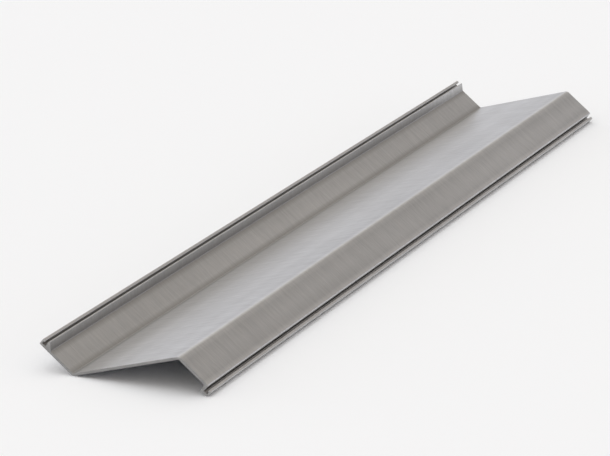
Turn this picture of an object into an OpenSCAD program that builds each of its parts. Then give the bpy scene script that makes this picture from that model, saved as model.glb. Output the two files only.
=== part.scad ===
// Hot-rolled Z-section sheet pile with a claw on one edge and a hook on the other.
// It lies as it would on a level floor: on the outside of one bend and on the tip of the hook.
// Lengths are millimetres. X runs across the pile, Y along it and Z up.

/* [Pile] */
// Length of the pile
pile_length = 5000; // [1000:100:18000]
// Width between the axes of the two interlocks
pile_width = 700; // [620:5:800]
// Height between the outer faces of the two flanges
pile_height = 460; // [380:5:500]
// Slope of the web against the flanges, in degrees
web_angle = 55; // [50:0.5:60]
// Thickness of the flanges
flange_t = 13; // [9:0.5:15]
// Thickness of the web
web_t = 13; // [9:0.5:15]
// Inside radius of the bends between web and flanges
bend_r = 7; // [4:1:30]

/* [Interlock] */
// Depth of the interlock from the outer face of its flange
lock_depth = 48; // [43:0.5:56]
// Thickness of the lip that closes the claw on the outer face
lip_t = 12; // [10:0.5:14]
// Thickness of the finger that closes the hook on the inner face
finger_t = 12; // [10:0.5:14]
// Thickness of the wall that carries the hook's finger, where it meets the finger
wall_t = 12; // [10:0.5:16]
// Draft of that wall's inner side, in degrees, which thickens it towards the flange
wall_draft = 10; // [0:1:20]
// Thickness of the neck of each thumb
thumb_t = 9; // [8:0.5:12]
// How far the nose of each thumb stands out from its neck
nose = 6; // [5:0.5:7]
// Clearance all round between a claw and the hook of the next pile
lock_gap = 2; // [1:0.25:2.5]
// Width of the flat tip of the claw's shoulder
shoulder_tip = 5; // [4:0.5:10]
// Slope of the claw's shoulder against the flange, in degrees
shoulder_angle = 45; // [40:1:55]
// How far the claw's shoulder stays short of the interlock's full depth
shoulder_short = 6; // [4:0.5:8]

/* [Rolled edges] */
// Radius where the claw's shoulder and the hook's wall leave the flange
root_r = 8; // [4:0.5:12]
// Radius of the finger's outside corner
finger_r = 10; // [6:0.5:11]
// Radius of the corners in the bottom of each pocket
pocket_r = 4; // [2:0.5:5]
// Radius of the noses and the thumb tips
nose_r = 3.5; // [2:0.25:4]
// Radius of the hook's outer corner, beside the seam
seam_r = 7; // [3:0.5:9]
// Radius of the other outside corners of the interlock
edge_r = 3; // [1.5:0.25:4]

/* [Hidden] */
steel = [0.60, 0.59, 0.57];
// Largest turn of one facet of a round corner, in degrees
facet_turn = 5;

// Places along an interlock run from its axis towards the tip of its own pile.
// A thumb and the pocket beside it are the same on the claw and on the hook, so either fits the other.
nose_at = (lock_gap - nose) / 2;
neck_at = (lock_gap + nose) / 2;
thumb_at = neck_at + thumb_t;
pocket_at = -thumb_at - lock_gap;
wall_at = pocket_at - wall_t;
wall_root_at = wall_at - (lock_depth - flange_t) * tan(wall_draft);

// Depths are measured from the outer face of the flange.
claw_tip = lock_depth - finger_t - lock_gap;
hook_tip = lip_t + lock_gap;
nose_h = (claw_tip - hook_tip - lock_gap) / 2;
// A nose is no rounder than its height allows, and its neck takes up the rest of its width.
nose_round = min(nose_r, nose_h / 2);
neck_round = nose - nose_round;
shoulder_depth = lock_depth - shoulder_short;
shoulder_run = (shoulder_depth - flange_t) / tan(shoulder_angle);
shoulder_at = pocket_at - shoulder_tip - shoulder_run;

// Where the web's face lies at a height: side is 1 for its lower right face and -1 for its upper left one.
function web_x(height, side) =
    pile_width / 2 + (side * web_t / 2 + (height - pile_height / 2) * cos(web_angle)) / sin(web_angle);

// Corners of the claw as [along, depth, radius], from the inner face of its flange to the outer one.
claw = [
    [shoulder_at, flange_t, root_r],
    [pocket_at - shoulder_tip, shoulder_depth, edge_r],
    [pocket_at, shoulder_depth, min(edge_r, shoulder_tip / 2)],
    [pocket_at, lip_t, pocket_r],
    [neck_at, lip_t, pocket_r],
    [neck_at, claw_tip - nose_h, neck_round],
    [nose_at, claw_tip - nose_h, nose_round],
    [nose_at, claw_tip, nose_round],
    [thumb_at, claw_tip, nose_round],
    [thumb_at, 0, edge_r],
];

// Corners of the hook, in the same form.
hook = [
    [wall_root_at, flange_t, root_r],
    [wall_at, lock_depth, edge_r],
    [thumb_at, lock_depth, finger_r],
    [thumb_at, hook_tip, nose_round],
    [nose_at, hook_tip, nose_round],
    [nose_at, hook_tip + nose_h, nose_round],
    [neck_at, hook_tip + nose_h, neck_round],
    [neck_at, lock_depth - finger_t, pocket_r],
    [pocket_at, lock_depth - finger_t, pocket_r],
    [pocket_at, 0, seam_r],
];

// The whole section, anticlockwise, with its flanges level: each corner is [x, z, radius].
// The claw ends the lower flange on the left, and the hook ends the upper flange on the right.
section = [
    [web_x(0, 1), 0, bend_r + flange_t],
    [web_x(pile_height - flange_t, 1), pile_height - flange_t, bend_r],
    for (c = hook) [pile_width + c[0], pile_height - c[1], c[2]],
    [web_x(pile_height, -1), pile_height, bend_r + flange_t],
    [web_x(flange_t, -1), flange_t, bend_r],
    for (c = claw) [-c[0], c[1], c[2]],
];

function unit(v) = v / norm(v);
function flat(c) = [c[0], c[1]];

// The arc that rounds the corner at b, between its neighbours a and c.
function corner_arc(a, b, c) =
    let (
        to_a = unit(flat(a) - flat(b)),
        to_c = unit(flat(c) - flat(b)),
        half = acos(to_a * to_c) / 2,
        centre = flat(b) + unit(to_a + to_c) * b[2] / sin(half),
        first = flat(b) + to_a * b[2] / tan(half) - centre,
        way = sign(to_c[0] * to_a[1] - to_c[1] * to_a[0]),
        turn = 180 - 2 * half,
        steps = ceil(turn / facet_turn)
    )
    [for (k = [0:steps]) centre + turned(first, way * turn * k / steps)];

function turned(p, angle) = [p[0] * cos(angle) - p[1] * sin(angle), p[0] * sin(angle) + p[1] * cos(angle)];

function rounded(corners) =
    let (n = len(corners))
    [for (i = [0:n - 1]) each corner_arc(corners[(i + n - 1) % n], corners[i], corners[(i + 1) % n])];

outline = rounded(section);

// The pile rolls until the finger of its hook meets the floor: the floor touches two round corners at once,
// the outside of the lower bend and the outside of the finger.
foot_r = bend_r + flange_t;
foot_centre = [web_x(0, 1) - foot_r * tan(web_angle / 2), foot_r];
finger_centre = [pile_width + thumb_at - finger_r, pile_height - lock_depth + finger_r];
span = finger_centre - foot_centre;
lie_angle = atan2(span[1], span[0]) + asin((foot_r - finger_r) / norm(span));

lying = [for (p = outline) turned(p, -lie_angle)];
lying_x = [for (p = lying) p[0]];
lying_z = [for (p = lying) p[1]];
to_floor = [-(min(lying_x) + max(lying_x)) / 2, -min(lying_z)];

module sheet_pile() {
    color(steel)
        translate([0, pile_length / 2, 0])
            rotate([90, 0, 0])
                linear_extrude(pile_length)
                    translate(to_floor)
                        polygon(lying);
}

sheet_pile();
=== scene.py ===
# %% [markdown]
# # A hot-rolled steel sheet pile
#
# A sheet pile is one long bar of rolled steel with a Z-shaped section. Its two edges carry the
# interlock: a claw on one edge and a hook on the other, so that piles can be threaded together
# into a wall. This lesson dresses one pile that lies alone on a pale floor. The solid comes from
# the CAD frame. Blender adds the rolled surface, the cut ends, the light and the camera. Lengths
# are metres: X runs across the pile, Y along it and Z up.

# %% Load the CAD frame
import math

import bmesh
import bpy
import numpy as np
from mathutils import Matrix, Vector


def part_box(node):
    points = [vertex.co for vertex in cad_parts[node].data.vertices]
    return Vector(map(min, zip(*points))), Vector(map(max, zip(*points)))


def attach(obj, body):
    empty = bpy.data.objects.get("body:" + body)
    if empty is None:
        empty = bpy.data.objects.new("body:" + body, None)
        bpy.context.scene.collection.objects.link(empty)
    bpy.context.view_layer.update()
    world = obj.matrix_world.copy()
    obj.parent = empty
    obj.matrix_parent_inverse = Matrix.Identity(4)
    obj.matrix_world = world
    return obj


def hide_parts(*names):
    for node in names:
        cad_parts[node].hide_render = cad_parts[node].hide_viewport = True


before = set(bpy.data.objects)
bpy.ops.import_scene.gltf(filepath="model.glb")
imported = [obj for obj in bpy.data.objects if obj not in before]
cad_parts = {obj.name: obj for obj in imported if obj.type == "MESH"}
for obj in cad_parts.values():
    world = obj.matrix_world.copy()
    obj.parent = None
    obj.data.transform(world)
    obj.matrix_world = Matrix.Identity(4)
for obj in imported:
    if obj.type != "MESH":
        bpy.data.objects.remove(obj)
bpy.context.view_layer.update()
cad_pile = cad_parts["sheet_pile"]

# %% [markdown]
# ## The section, read from the end of the solid
#
# Every cut through the pile has the same outline, so the mesh needs that outline only once. It
# could be typed in again, but then the two models could drift apart. Here it is read from the
# solid's own end face: the edges that only one triangle of the face uses are the rim, and walking
# from edge to edge puts the rim's points in order.

# %% Read the rim of the end face
END_TOLERANCE = 1e-5
POINT_DIGITS = 6


def end_rim(node):
    """Rim of the face at the low-Y end: points (x, z), anticlockwise as seen from outside."""
    mesh = node.data
    y_end = min(v.co.y for v in mesh.vertices)
    spot = {}
    for v in mesh.vertices:
        if abs(v.co.y - y_end) < END_TOLERANCE:
            spot[v.index] = (round(v.co.x, POINT_DIGITS), round(v.co.z, POINT_DIGITS))
    sides = set()
    for face in mesh.polygons:
        corners = list(face.vertices)
        if all(i in spot for i in corners):
            for a, b in zip(corners, corners[1:] + corners[:1]):
                sides.add((spot[a], spot[b]))
    after = {a: b for a, b in sides if (b, a) not in sides}
    first = min(after)
    rim = [first]
    while after[rim[-1]] != first:
        rim.append(after[rim[-1]])
    return np.array(rim)


rim = end_rim(cad_pile)
print("rim:", len(rim), "points")

# %% [markdown]
# ## An even set of points
#
# The solid's rim is crowded in its small radii and empty along its flats. A good mesh wants the
# opposite: a few points round a tight corner, and points at steady steps along a flat, so that the
# flat can carry a slight waviness. Each flat also gets a point close to both ends. These holding
# points keep smooth shading from bleeding out of the bends onto the flats.

# %% Thin the corners and fill the flats
STRAIGHT_RUN = 0.0018
CORNER_STEP = math.radians(14.0)
FLAT_STEP = 0.024
HOLD = 0.0012
SHORT_FLAT = 4 * HOLD


def turn_at(before, here, after):
    """Angle by which the outline turns at a point, positive on an outside corner."""
    a = here - before
    b = after - here
    return math.atan2(a[0] * b[1] - a[1] * b[0], a[0] * b[0] + a[1] * b[1])


def thin(points):
    """The points beside a flat, and those that a round corner needs for even steps."""
    count = len(points)
    kept = []
    turned = 0.0
    for i in range(count):
        before, here, after = points[i - 1], points[i], points[(i + 1) % count]
        turned += abs(turn_at(before, here, after))
        beside_flat = max(np.linalg.norm(here - before), np.linalg.norm(after - here)) > STRAIGHT_RUN
        if beside_flat or turned > CORNER_STEP:
            kept.append(here)
            turned = 0.0
    return np.array(kept)


def fill(points):
    """The same outline, with holding points at the ends of each flat and even steps between them."""
    out = []
    for a, b in zip(points, np.roll(points, -1, 0)):
        run = np.linalg.norm(b - a)
        out.append(a)
        if run > SHORT_FLAT:
            steps = max(1, round((run - 2 * HOLD) / FLAT_STEP))
            for k in range(steps + 1):
                share = (HOLD + (run - 2 * HOLD) * k / steps) / run
                out.append(a + (b - a) * share)
    return np.array(out)


outline = fill(thin(rim))
outline_count = len(outline)
print("outline:", outline_count, "points")

# %% [markdown]
# ## What each point of the section is
#
# Rolled steel looks different on a crest, in a valley and on a flat: crests rub bright in handling
# and also carry a painted highlight, valleys get painted shade, and a strip beside each crest gets
# painted shade that leaves it a little darker than the rest of the flat. The turn of the outline at
# each point says which it is. A Gaussian spread along the outline makes the change gradual, and the
# distance to the nearest crest gives the strip of painted shade. The distance to the nearest corner
# says how flat a place is, which the waves need later.

# %% Measure the outline
sides = np.roll(outline, -1, 0) - outline
side_lengths = np.linalg.norm(sides, axis=1)
side_normals = np.stack([sides[:, 1], -sides[:, 0]], 1) / side_lengths[:, None]
point_normals = side_normals + np.roll(side_normals, 1, 0)
point_normals /= np.linalg.norm(point_normals, axis=1)[:, None]
places = np.concatenate([[0.0], np.cumsum(side_lengths)[:-1]])
perimeter = side_lengths.sum()
turns = np.array([turn_at(outline[i - 1], outline[i], outline[(i + 1) % outline_count])
                  for i in range(outline_count)])
apart = np.abs(places[:, None] - places[None, :])
apart = np.minimum(apart, perimeter - apart)
print("perimeter: %.3f m" % perimeter)

# %% Find the crests, the valleys and the flats
CREST_SPREAD = 0.005
FULL_TURN = 0.4
CREST_PART = 0.5
# How far the painted shade beside a crest reaches along the flat.
CREST_SHADE_REACH = 0.045
CORNER_TURN = 0.03
FLAT_FROM, FLAT_TO = 0.004, 0.030

spread = np.exp(-0.5 * (apart / CREST_SPREAD) ** 2)
crest = np.clip(spread @ np.maximum(turns, 0.0) / FULL_TURN, 0.0, 1.0)
valley = np.clip(spread @ np.maximum(-turns, 0.0) / FULL_TURN, 0.0, 1.0)
# The strip beside each crest that gets painted shade in the skin.
to_crest = np.where(crest[None, :] > CREST_PART, apart, perimeter).min(1)
crest_shade = np.exp(-to_crest / CREST_SHADE_REACH) * (1.0 - crest)
to_corner = np.where(np.abs(turns)[None, :] > CORNER_TURN, apart, perimeter).min(1)
flatness = np.clip((to_corner - FLAT_FROM) / (FLAT_TO - FLAT_FROM), 0.0, 1.0)
print("crest points: %d, valley points: %d" % ((crest > CREST_PART).sum(), (valley > CREST_PART).sum()))

# %% [markdown]
# ## The rings along the pile
#
# The mesh is a stack of copies of the outline, one ring behind the other, close together at the two
# saw cuts and further apart between them. The first ring of each end is drawn in a little and
# unevenly, because a dressed cut leaves a narrow, ragged bevel and not a knife edge. A real rolling
# is never quite flat either: the flats get waves about a quarter of a millimetre deep, which no
# drawing would show but which the light finds.

# %% Shape the rings
END_RINGS = [0.0, 0.0009, 0.003, 0.009, 0.026]
RING_STEP = 0.045
BEVEL_MIN, BEVEL_MAX = 0.0005, 0.0013
BEVEL_SEED = 17
WAVE_HEIGHT = 0.00014
# Each wave: share of the height, radians a metre and start along the pile, and the same round it.
WAVES = [
    (0.65, 3.1, 0.7, 5.0, 1.3),
    (0.35, 8.3, 2.1, 11.0, 0.4),
]

(low_x, low_y, low_z), (high_x, high_y, high_z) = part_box("sheet_pile")
steps = math.ceil((high_y - low_y - 2 * END_RINGS[-1]) / RING_STEP)
between = np.linspace(low_y + END_RINGS[-1], high_y - END_RINGS[-1], steps + 1)[1:-1]
ring_ys = np.concatenate([low_y + np.array(END_RINGS), between, high_y - np.array(END_RINGS[::-1])])
ring_count = len(ring_ys)
chance = np.random.default_rng(BEVEL_SEED)


def ragged(count):
    """A value from 0 to 1 round a closed outline, random but smooth from point to point."""
    raw = chance.random(count)
    soft = (np.roll(raw, 1) + 2 * raw + np.roll(raw, -1)) / 4
    return (soft - soft.min()) / (soft.max() - soft.min())


def waves(y, place):
    """Waves of a rolled flat, from -1 to 1, at y along the pile and at a place round its outline."""
    total = 0.0
    for share, along, along_start, around, around_start in WAVES:
        lengthways = math.sin(along * y + along_start)
        crossways = np.sin(around * place + around_start)
        total = total + share * (lengthways * crossways)
    return total


rings = []
for k, y in enumerate(ring_ys):
    if k in (0, ring_count - 1):
        out = -(BEVEL_MIN + (BEVEL_MAX - BEVEL_MIN) * ragged(outline_count))
    else:
        out = WAVE_HEIGHT * flatness * waves(y, places)
    ring = outline + point_normals * out[:, None]
    rings.append(np.stack([ring[:, 0], np.full(outline_count, y), ring[:, 1]], 1))
points = np.concatenate(rings)
print("rings: %d, points: %d" % (ring_count, len(points)))

# %% [markdown]
# ## From rings to a mesh
#
# Four-sided faces join each ring to the next, and one large face closes each end. Blender could
# extrude the outline by itself, but a mesh that is joined face by face knows at once what each face
# is. An end face and the bevel round it are the saw cut and take the second material. All the other
# faces are rolled skin and take the first.

# %% Join the rings
SKIN, CUT = 0, 1

faces = []
face_kinds = []
for k in range(ring_count - 1):
    kind = CUT if k in (0, ring_count - 2) else SKIN
    near, far = k * outline_count, (k + 1) * outline_count
    for i in range(outline_count):
        j = (i + 1) % outline_count
        faces.append((near + i, far + i, far + j, near + j))
        face_kinds.append(kind)
last = (ring_count - 1) * outline_count
faces.append(tuple(range(outline_count)))
faces.append(tuple(range(last + outline_count - 1, last - 1, -1)))
face_kinds += [CUT, CUT]

pile_mesh = bpy.data.meshes.new("sheet_pile_rolled")
pile_mesh.from_pydata(points.tolist(), [], faces)
pile_mesh.validate()
print("mesh: %d points, %d faces" % (len(points), len(faces)))

# %% [markdown]
# ## Shading and attributes
#
# Smooth shading suits a rolled skin, but the rim of a saw cut is an edge. Marking edges sharper
# than a set angle keeps both. The crest and valley values and the strip of painted shade beside the
# crests go onto the mesh as attributes, one number a point, where a material can read them. Each end
# is still one polygon with hundreds of corners. Programs cut such a polygon up in different ways, so
# it is cut into triangles here, once.

# %% Finish the mesh and put it in place of the solid
SHARP_EDGE = math.radians(30.0)
QUAD_CORNERS = 4

pile_mesh.polygons.foreach_set("use_smooth", [True] * len(pile_mesh.polygons))
pile_mesh.polygons.foreach_set("material_index", face_kinds)
ends = bmesh.new()
ends.from_mesh(pile_mesh)
end_faces = [face for face in ends.faces if len(face.verts) > QUAD_CORNERS]
bmesh.ops.triangulate(ends, faces=end_faces)
ends.to_mesh(pile_mesh)
ends.free()
pile_mesh.set_sharp_from_angle(angle=SHARP_EDGE)
for name, values in (("crest", crest), ("valley", valley), ("crest_shade", crest_shade)):
    layer = pile_mesh.attributes.new(name, "FLOAT", "POINT")
    layer.data.foreach_set("value", np.tile(values, ring_count))
pile = bpy.data.objects.new("rolled_pile", pile_mesh)
bpy.context.collection.objects.link(pile)
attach(pile, "root")
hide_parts("sheet_pile")
print("sharp edges:", sum(e.use_edge_sharp for e in pile_mesh.edges))

# %% [markdown]
# ## A map of the skin
#
# When a model goes out to another program, its materials are painted onto a square picture, and a
# map says where each face lies on it. Blender can lay out such a map by itself. But a skin five
# metres long would cross the square in one run, and its fine streaks would blur. Here the skin is
# unrolled and cut into strips that lie side by side, so the streaks get more room. The narrow faces
# round a corner get a little more than their true width, and the two cut ends lie in a row above the
# strips. The exporter looks for the map by its name.

# %% Places on the map
MAP_STRIPS = 2
MAP_GAP = 0.006
END_COUNT = 2
END_ROW = 0.10
CORNER_ROOM = 0.0015

rooms = side_lengths + CORNER_ROOM
across = 1.0 - np.concatenate([[0.0], np.cumsum(rooms)]) / rooms.sum()
strip_rings = np.linspace(0, ring_count - 1, MAP_STRIPS + 1).round().astype(int)


def in_cell(column, columns, low, high, right, up):
    """Place on the map in one cell of a row of cells, where right and up run from 0 to 1."""
    width = 1.0 / columns
    u = width * column + MAP_GAP + right * (width - 2 * MAP_GAP)
    v = low + MAP_GAP + up * (high - low - 2 * MAP_GAP)
    return u, v


def skin_place(strip, ring, point):
    """Place on the map of a point of the unrolled skin."""
    start, stop = ring_ys[strip_rings[strip]], ring_ys[strip_rings[strip + 1]]
    up = (ring_ys[ring] - start) / (stop - start)
    return in_cell(strip, MAP_STRIPS, 0.0, 1.0 - END_ROW, across[point], up)


def end_place(is_far, spot):
    """Place on the map of a point of a cut end, as it is seen from outside."""
    x, _, z = spot
    from_left = (x - low_x) / (high_x - low_x)
    right = 1.0 - from_left if is_far else from_left
    up = (z - low_z) / (high_z - low_z)
    return in_cell(int(is_far), END_COUNT, 1.0 - END_ROW, 1.0, right, up)


print("map strips meet at rings", strip_rings[1:-1].tolist())

# %% Lay out the map
MAP_NAME = "OFBake"

map_places = []
for face in pile_mesh.polygons:
    corners = [divmod(index, outline_count) for index in face.vertices]
    face_rings = [ring for ring, point in corners]
    face_points = [point for ring, point in corners]
    if min(face_rings) == max(face_rings):
        map_places += [end_place(face_rings[0] > 0, points[index]) for index in face.vertices]
        continue
    strip = int(np.searchsorted(strip_rings, min(face_rings), "right")) - 1
    closes_outline = max(face_points) - min(face_points) > 1
    for ring, point in corners:
        # The face that closes the outline runs on to its end, and not back to its start.
        map_point = outline_count if closes_outline and point == 0 else point
        map_places.append(skin_place(strip, ring, map_point))
skin_map = pile_mesh.uv_layers.new(name=MAP_NAME)
skin_map.data.foreach_set("uv", np.array(map_places).ravel())
print("map: %d strips, %d corners of faces" % (MAP_STRIPS, len(map_places)))

# %% [markdown]
# ## Small helpers for shader nodes
#
# A material is a graph of nodes, and wiring it node by node takes many lines. These helpers keep it
# short. Wherever a socket is given a value, the value may be a plain one, which is set on the socket,
# or the output of another node, which is linked to it.

# %% Node helpers
# A Mix node has sockets for every kind of data, and these are the ones for colours.
MIX_SHARE, MIX_FIRST, MIX_SECOND, MIX_RESULT = 0, 6, 7, 2


def feed(tree, socket, value):
    """Link a socket to another node's output, or set it to a plain value."""
    if isinstance(value, bpy.types.NodeSocket):
        tree.links.new(value, socket)
    else:
        socket.default_value = value


def add(tree, kind, label, settings=None, **sockets):
    """New node with its settings, and its sockets by name, with _ for a space."""
    node = tree.nodes.new(kind)
    node.label = label
    for key, value in (settings or {}).items():
        setattr(node, key, value)
    for key, value in sockets.items():
        feed(tree, node.inputs[key.replace("_", " ")], value)
    return node


def math_node(tree, label, operation, first, second):
    """Result of an operation on two values."""
    node = add(tree, "ShaderNodeMath", label, {"operation": operation})
    feed(tree, node.inputs[0], first)
    feed(tree, node.inputs[1], second)
    return node.outputs[0]


def mix_colours(tree, label, share, first, second):
    """The first colour, with a share of the second mixed in."""
    node = add(tree, "ShaderNodeMix", label, {"data_type": "RGBA"})
    feed(tree, node.inputs[MIX_SHARE], share)
    feed(tree, node.inputs[MIX_FIRST], first)
    feed(tree, node.inputs[MIX_SECOND], second)
    return node.outputs[MIX_RESULT]


def weighted(tree, label, parts):
    """Sum of socket times weight over (socket, weight) pairs."""
    total = None
    for socket, weight in parts:
        share = math_node(tree, label + " share", "MULTIPLY", socket, weight)
        total = share if total is None else math_node(tree, label, "ADD", total, share)
    return total


def remap(tree, label, value, low, high, to_low, to_high):
    """Value moved from one range to another, and kept inside it."""
    node = add(tree, "ShaderNodeMapRange", label, None, Value=value, From_Min=low, From_Max=high,
               To_Min=to_low, To_Max=to_high)
    return node.outputs[0]


def new_group(name, inputs, output):
    """Node group with named inputs and one output value, and the two nodes that hold those sockets."""
    group = bpy.data.node_groups.new(name, "ShaderNodeTree")
    for socket_name, socket_kind in inputs.items():
        group.interface.new_socket(socket_name, in_out="INPUT", socket_type=socket_kind)
    group.interface.new_socket(output, in_out="OUTPUT", socket_type="NodeSocketFloat")
    return group, group.nodes.new("NodeGroupInput"), group.nodes.new("NodeGroupOutput")


print("node helpers are ready")

# %% [markdown]
# ## Streaks, as a node group
#
# Cleaned rolled steel shows fine streaks that run across the pile, from crest to valley, and slow
# bands of light and dark along it. All of them are one idea: noise that is stretched in one
# direction. A node group holds that idea once. Its inputs say how wide a streak is along the pile
# and how far it reaches across it, so the same group makes hair-fine lines, broad bands and, turned
# round, the marks of the saw.

# %% Make the streak group
STREAK_LOW, STREAK_HIGH = 0.30, 0.70
STREAK_ROUGHNESS = 0.6

streaks, streak_in, streak_out = new_group(
    "Streaks across the pile",
    {"Place": "NodeSocketVector", "Width": "NodeSocketFloat", "Reach": "NodeSocketFloat",
     "Detail": "NodeSocketFloat"},
    "Streak")
per_width = math_node(streaks, "lines per metre", "DIVIDE", 1.0, streak_in.outputs["Width"])
per_reach = math_node(streaks, "reaches per metre", "DIVIDE", 1.0, streak_in.outputs["Reach"])
stretch = add(streaks, "ShaderNodeCombineXYZ", "stretch", None, X=per_reach, Y=per_width, Z=per_reach)
stretched = add(streaks, "ShaderNodeVectorMath", "stretched place", {"operation": "MULTIPLY"})
feed(streaks, stretched.inputs[0], streak_in.outputs["Place"])
feed(streaks, stretched.inputs[1], stretch.outputs[0])
streak_noise = add(streaks, "ShaderNodeTexNoise", "streak noise", None, Vector=stretched.outputs[0],
                   Scale=1.0, Detail=streak_in.outputs["Detail"], Roughness=STREAK_ROUGHNESS)
streak_value = remap(streaks, "spread", streak_noise.outputs[0], STREAK_LOW, STREAK_HIGH, 0.0, 1.0)
feed(streaks, streak_out.inputs["Streak"], streak_value)


def streak(tree, label, place, width, reach, detail):
    """Streak value of the group, placed in a material."""
    node = add(tree, "ShaderNodeGroup", label, {"node_tree": streaks}, Place=place, Width=width,
               Reach=reach, Detail=detail)
    return node.outputs["Streak"]


print("group:", streaks.name)

# %% [markdown]
# ## Rubbed edges and painted highlight, as a node group
#
# Chains, timbers and other piles rub the crests bright, but never evenly. On the skin the same bright
# line is also a painted highlight along the crests, and on the saw cut it marks the dressed burr at
# the corners. A renderer can look for edges by itself, but what it finds depends on the mesh and on
# the renderer. The crest value that the mesh stores is the same everywhere. The group takes it and
# breaks it up with noise, so that the bright line comes and goes.

# %% Make the group for rubbed edges and painted highlight
PATCH_LOW, PATCH_HIGH = 0.32, 0.66
PATCH_LEAST = 0.45
PATCH_DETAIL, PATCH_ROUGHNESS = 4.0, 0.65

rubbed_and_highlit, wear_and_highlight_in, wear_and_highlight_out = new_group(
    "Rubbed edges and painted highlight",
    {"Place": "NodeSocketVector", "Crest": "NodeSocketFloat", "Size": "NodeSocketFloat"},
    "Mask")
per_patch = math_node(rubbed_and_highlit, "patches per metre", "DIVIDE", 1.0, wear_and_highlight_in.outputs["Size"])
patch_noise = add(rubbed_and_highlit, "ShaderNodeTexNoise", "rub patches", None, Vector=wear_and_highlight_in.outputs["Place"],
                  Scale=per_patch, Detail=PATCH_DETAIL, Roughness=PATCH_ROUGHNESS)
patches = remap(rubbed_and_highlit, "patches", patch_noise.outputs[0], PATCH_LOW, PATCH_HIGH, PATCH_LEAST, 1.0)
wear_and_highlight_value = math_node(rubbed_and_highlit, "rubbed_and_highlit", "MULTIPLY", patches, wear_and_highlight_in.outputs["Crest"])
feed(rubbed_and_highlit, wear_and_highlight_out.inputs["Mask"], wear_and_highlight_value)


def wear_and_highlight(tree, label, place, crest_value, size):
    """Mask of the crests' rubbed wear and painted highlight, placed in a material."""
    node = add(tree, "ShaderNodeGroup", label, {"node_tree": rubbed_and_highlit}, Place=place, Crest=crest_value,
               Size=size)
    return node.outputs["Mask"]


print("group:", rubbed_and_highlit.name)

# %% [markdown]
# ## What the two finishes share
#
# The skin and the saw cut are both bare steel. Each starts from the place on the pile and the values
# that the mesh stores, and each ends in a low relief and a metal shader. Helpers hold those two ends,
# so that the finishes show only what sets them apart.

# %% Helpers for bare steel
def new_material(name):
    """Empty material, its node tree and the place on the pile."""
    material = bpy.data.materials.new(name)
    material.use_nodes = True
    tree = material.node_tree
    tree.nodes.clear()
    place = add(tree, "ShaderNodeTexCoord", "place on the pile").outputs["Object"]
    return material, tree, place


def stored(tree, name):
    """Value that the mesh stores under a name."""
    return add(tree, "ShaderNodeAttribute", name, {"attribute_name": name}).outputs["Fac"]


def bare_metal(tree, label, colour, roughness, height, strength, distance):
    """Relief, metal shader and output, the end of a material."""
    relief = add(tree, "ShaderNodeBump", label + " relief", None, Strength=strength, Distance=distance,
                 Height=height)
    metal = add(tree, "ShaderNodeBsdfPrincipled", label, None, Base_Color=colour, Metallic=1.0,
                Roughness=roughness, Normal=relief.outputs[0])
    add(tree, "ShaderNodeOutputMaterial", "output", None, Surface=metal.outputs[0])


print("helpers for bare steel are ready")

# %% [markdown]
# ## The rolled skin
#
# The skin is bare steel: a metal, satin, in a plain mid grey. A picture of steel could be laid over
# it, but on five metres it would repeat or blur, and noise does neither. So the tone is a sum over
# five scales: hair-fine streaks, finger-wide streaks, bands along the pile, slow clouds and a fine
# grain, less a painted shade in the strip beside the crests. The same fine streaks drive the
# roughness and a very low bump, so the light breaks on them too. Valleys get painted shade, and the
# crests a painted highlight that also stands for rubbed wear.

# %% Make the rolled skin
SKIN_DARK = (0.370, 0.366, 0.365, 1.0)
SKIN_LIGHT = (0.548, 0.544, 0.542, 1.0)
# Colour of the painted shade in the valleys.
VALLEY_SHADE_TONE = (0.216, 0.204, 0.189, 1.0)
# Crest colour: rubbed wear and a painted highlight on the skin, the dressed burr on the saw cut.
CREST_WEAR_AND_HIGHLIGHT_TONE = (0.660, 0.652, 0.634, 1.0)
HAIR = {"width": 0.0080, "reach": 0.090, "detail": 2.0}
FINGER = {"width": 0.022, "reach": 0.24, "detail": 2.0}
BAND = {"width": 2.6, "reach": 0.105, "detail": 1.0}
CLOUD = {"width": 0.60, "reach": 0.45, "detail": 1.0}
HAIR_WEIGHT, FINGER_WEIGHT, BAND_WEIGHT, CLOUD_WEIGHT = 0.26, 0.24, 0.30, 0.10
# The negative weight paints shade into the strip beside each crest.
GRAIN_WEIGHT, CREST_SHADE_WEIGHT = 0.14, -0.34
GRAIN_SCALE, GRAIN_DETAIL = 420.0, 3.0
VALLEY_SHADE_STRENGTH = 0.55
# Patches and strength of the rubbed wear and painted highlight on the crests.
RUB_AND_HIGHLIGHT_SIZE, RUB_AND_HIGHLIGHT_STRENGTH = 0.09, 0.45
SKIN_ROUGH, SKIN_SMOOTH = 0.50, 0.38
SKIN_BUMP, SKIN_RELIEF = 0.10, 0.0006

skin, tree, place = new_material("rolled_skin")
hair = streak(tree, "hair-fine streaks", place, **HAIR)
finger = streak(tree, "finger-wide streaks", place, **FINGER)
band = streak(tree, "bands along the pile", place, **BAND)
cloud = streak(tree, "clouds", place, **CLOUD)
grain_noise = add(tree, "ShaderNodeTexNoise", "grain", None, Vector=place, Scale=GRAIN_SCALE,
                  Detail=GRAIN_DETAIL)
grain = grain_noise.outputs[0]
tone = weighted(tree, "tone", [
    (hair, HAIR_WEIGHT),
    (finger, FINGER_WEIGHT),
    (band, BAND_WEIGHT),
    (cloud, CLOUD_WEIGHT),
    (grain, GRAIN_WEIGHT),
    # Painted shade in the strip beside the crests.
    (stored(tree, "crest_shade"), CREST_SHADE_WEIGHT),
])
colour = mix_colours(tree, "skin", tone, SKIN_DARK, SKIN_LIGHT)
# Painted shade in the valleys, where the outline turns inwards.
valley_shade_share = math_node(tree, "valley shade share", "MULTIPLY", stored(tree, "valley"), VALLEY_SHADE_STRENGTH)
colour = mix_colours(tree, "painted shade in valleys", valley_shade_share, colour, VALLEY_SHADE_TONE)
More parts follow.
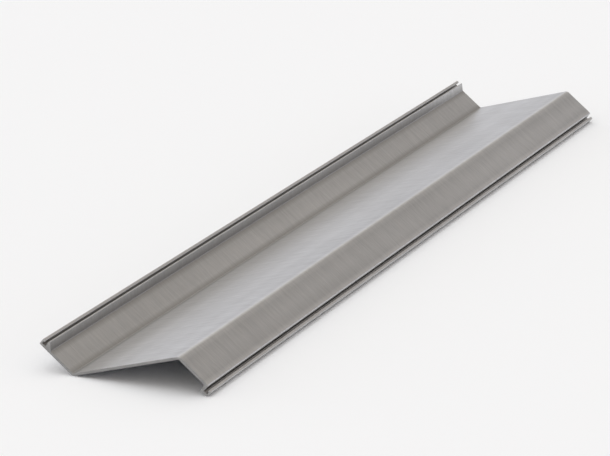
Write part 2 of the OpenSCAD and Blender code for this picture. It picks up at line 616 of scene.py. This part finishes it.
# Rubbed wear on the crests, and a painted highlight along them.
wear_and_highlight_mask = wear_and_highlight(tree, "rubbed crests", place, stored(tree, "crest"), RUB_AND_HIGHLIGHT_SIZE)
wear_and_highlight_share = math_node(tree, "rub share", "MULTIPLY", wear_and_highlight_mask, RUB_AND_HIGHLIGHT_STRENGTH)
colour = mix_colours(tree, "rubbed crests", wear_and_highlight_share, colour, CREST_WEAR_AND_HIGHLIGHT_TONE)
roughness = remap(tree, "roughness", hair, 0.0, 1.0, SKIN_ROUGH, SKIN_SMOOTH)
height = math_node(tree, "height", "ADD", hair, grain)
bare_metal(tree, "rolled steel", colour, roughness, height, SKIN_BUMP, SKIN_RELIEF)
pile_mesh.materials.append(skin)
print("material:", skin.name, len(tree.nodes), "nodes")

# %% [markdown]
# ## The saw cut
#
# The ends were sawn: a duller, darker metal with fine parallel marks, and brighter corners where the
# burr was dressed off. The streak group makes the saw marks too. Its place is turned so that the
# lines lie in the cut.

# %% Make the saw cut
CUT_DARK = (0.240, 0.237, 0.231, 1.0)
CUT_LIGHT = (0.370, 0.365, 0.355, 1.0)
INTO_CUT = (math.radians(90.0), 0.0, 0.0)
SAW_MARKS = {"width": 0.0016, "reach": 0.05, "detail": 2.0}
SAW_SWEEPS = {"width": 0.012, "reach": 0.25, "detail": 2.0}
MARKS_WEIGHT, SWEEPS_WEIGHT = 0.55, 0.45
BURR_SIZE, BURR_STRENGTH = 0.01, 0.4
CUT_ROUGH, CUT_SMOOTH = 0.58, 0.46
CUT_BUMP, CUT_RELIEF = 0.25, 0.0004

cut, tree, place = new_material("saw_cut")
turned = add(tree, "ShaderNodeMapping", "turned into the cut", None, Vector=place, Rotation=INTO_CUT)
marks = streak(tree, "saw marks", turned.outputs[0], **SAW_MARKS)
sweeps = streak(tree, "saw sweeps", turned.outputs[0], **SAW_SWEEPS)
tone = weighted(tree, "tone", [(marks, MARKS_WEIGHT), (sweeps, SWEEPS_WEIGHT)])
colour = mix_colours(tree, "cut", tone, CUT_DARK, CUT_LIGHT)
# On the cut the same mask marks only the dressed burr at the corners.
wear_and_highlight_mask = wear_and_highlight(tree, "bright corners", place, stored(tree, "crest"), BURR_SIZE)
wear_and_highlight_share = math_node(tree, "rub share", "MULTIPLY", wear_and_highlight_mask, BURR_STRENGTH)
colour = mix_colours(tree, "bright corners", wear_and_highlight_share, colour, CREST_WEAR_AND_HIGHLIGHT_TONE)
roughness = remap(tree, "roughness", marks, 0.0, 1.0, CUT_ROUGH, CUT_SMOOTH)
bare_metal(tree, "cut steel", colour, roughness, marks, CUT_BUMP, CUT_RELIEF)
pile_mesh.materials.append(cut)
print("material:", cut.name, len(tree.nodes), "nodes")

# %% [markdown]
# ## The floor
#
# The pile lies on a plain pale floor, wide enough to fill the picture. A backdrop could rise behind
# the pile, but a floor alone looks the same from every side. It lies a fraction of a millimetre below
# the pile's lowest point, so that the two surfaces never coincide.

# %% Make the floor
FLOOR_SIZE = 80.0
FLOOR_TONE = (0.932, 0.942, 0.957, 1.0)
FLOOR_ROUGHNESS = 0.9
FLOOR_SHINE = 0.1
FLOOR_DROP = 0.0004

half = FLOOR_SIZE / 2
floor_corners = [(-half, -half, 0), (half, -half, 0), (half, half, 0), (-half, half, 0)]
floor_mesh = bpy.data.meshes.new("floor")
floor_mesh.from_pydata(floor_corners, [], [(0, 1, 2, 3)])
floor = bpy.data.objects.new("floor", floor_mesh)
floor.location.z = low_z - FLOOR_DROP
bpy.context.collection.objects.link(floor)
floor_paint = bpy.data.materials.new("pale_floor")
floor_paint.use_nodes = True
floor_shader = floor_paint.node_tree.nodes["Principled BSDF"]
floor_shader.inputs["Base Color"].default_value = FLOOR_TONE
floor_shader.inputs["Roughness"].default_value = FLOOR_ROUGHNESS
floor_shader.inputs["Specular IOR Level"].default_value = FLOOR_SHINE
floor_mesh.materials.append(floor_paint)
print("floor at z = %.4f" % floor.location.z)

# %% [markdown]
# ## The light
#
# Metal shows what stands around it, so the light matters as much as the material. This sky is bright
# and cool at the horizon, darker and warmer further up, and pale again overhead: it gives the level
# faces a light, cool tone and the slopes a darker, warmer one. The shadow could come from an area
# lamp, but a lamp close by leaves a bright patch on the floor. A sun lights the whole floor evenly.
# Its angle is very wide here: the shadow turns soft, and the steel mirrors the sun as a broad glow
# and not as a glare, from whatever side it is seen.

# %% Make the sky and the sun
# Each step of the sky: how far up it is, from 0 at the horizon to 1 overhead, and its colour.
SKY_STEPS = [
    (0.00, (1.11, 1.16, 1.31)),
    (0.13, (1.06, 1.11, 1.26)),
    (0.40, (0.450, 0.394, 0.318)),
    (0.62, (0.635, 0.594, 0.540)),
    (1.00, (0.950, 0.955, 0.970)),
]
SUN_STRENGTH = 1.06
SUN_WIDTH = math.radians(100.0)
SUN_FROM = Vector((-0.62, 0.15, 0.77))
SUN_TONE = (0.960, 0.980, 1.0)

sky = bpy.data.worlds.new("studio")
bpy.context.scene.world = sky
sky.use_nodes = True
tree = sky.node_tree
direction = add(tree, "ShaderNodeTexCoord", "direction").outputs["Generated"]
upward = add(tree, "ShaderNodeSeparateXYZ", "upward", None, Vector=direction).outputs["Z"]
ramp = add(tree, "ShaderNodeValToRGB", "horizon to zenith", None, Fac=upward)
stops = ramp.color_ramp.elements
stops.remove(stops[1])
for k, (at, tone) in enumerate(SKY_STEPS):
    stop = stops.new(at) if k else stops[0]
    stop.position = at
    stop.color = (*tone, 1.0)
feed(tree, tree.nodes["Background"].inputs["Color"], ramp.outputs[0])

sun_light = bpy.data.lights.new("soft_sun", "SUN")
sun_light.energy = SUN_STRENGTH
sun_light.angle = SUN_WIDTH
sun_light.color = SUN_TONE
sun = bpy.data.objects.new("soft_sun", sun_light)
sun.rotation_euler = (-SUN_FROM).to_track_quat("-Z", "Y").to_euler()
bpy.context.collection.objects.link(sun)
bpy.context.scene.view_settings.view_transform = "Standard"
print("sky steps:", len(SKY_STEPS))

# %% [markdown]
# ## The camera
#
# A long lens from far away, as in the photograph, keeps the pile's edges nearly parallel. The camera
# stands to the right of the pile's near end and looks along it. It sits a little higher than the
# photograph's, because a pile that lies alone rolls over until its web is nearly level: from here
# that light level face and the darker slopes are seen about as the photograph shows them.

# %% Place the camera
AZIMUTH, ELEVATION = math.radians(24.0), math.radians(17.0)
DISTANCE = 17.0
LENS, SENSOR_WIDTH = 199.0, 36.0
AIM = Vector((-0.19, -0.12, 0.03))

away = Vector((math.sin(AZIMUTH) * math.cos(ELEVATION), -math.cos(AZIMUTH) * math.cos(ELEVATION),
               math.sin(ELEVATION)))
camera_data = bpy.data.cameras.new("camera")
camera_data.lens = LENS
camera_data.sensor_width = SENSOR_WIDTH
camera = bpy.data.objects.new("camera", camera_data)
camera.location = AIM + away * DISTANCE
camera.rotation_euler = (-away).to_track_quat("-Z", "Y").to_euler()
bpy.context.collection.objects.link(camera)
bpy.context.scene.camera = camera
print("camera at", [round(v, 2) for v in camera.location])
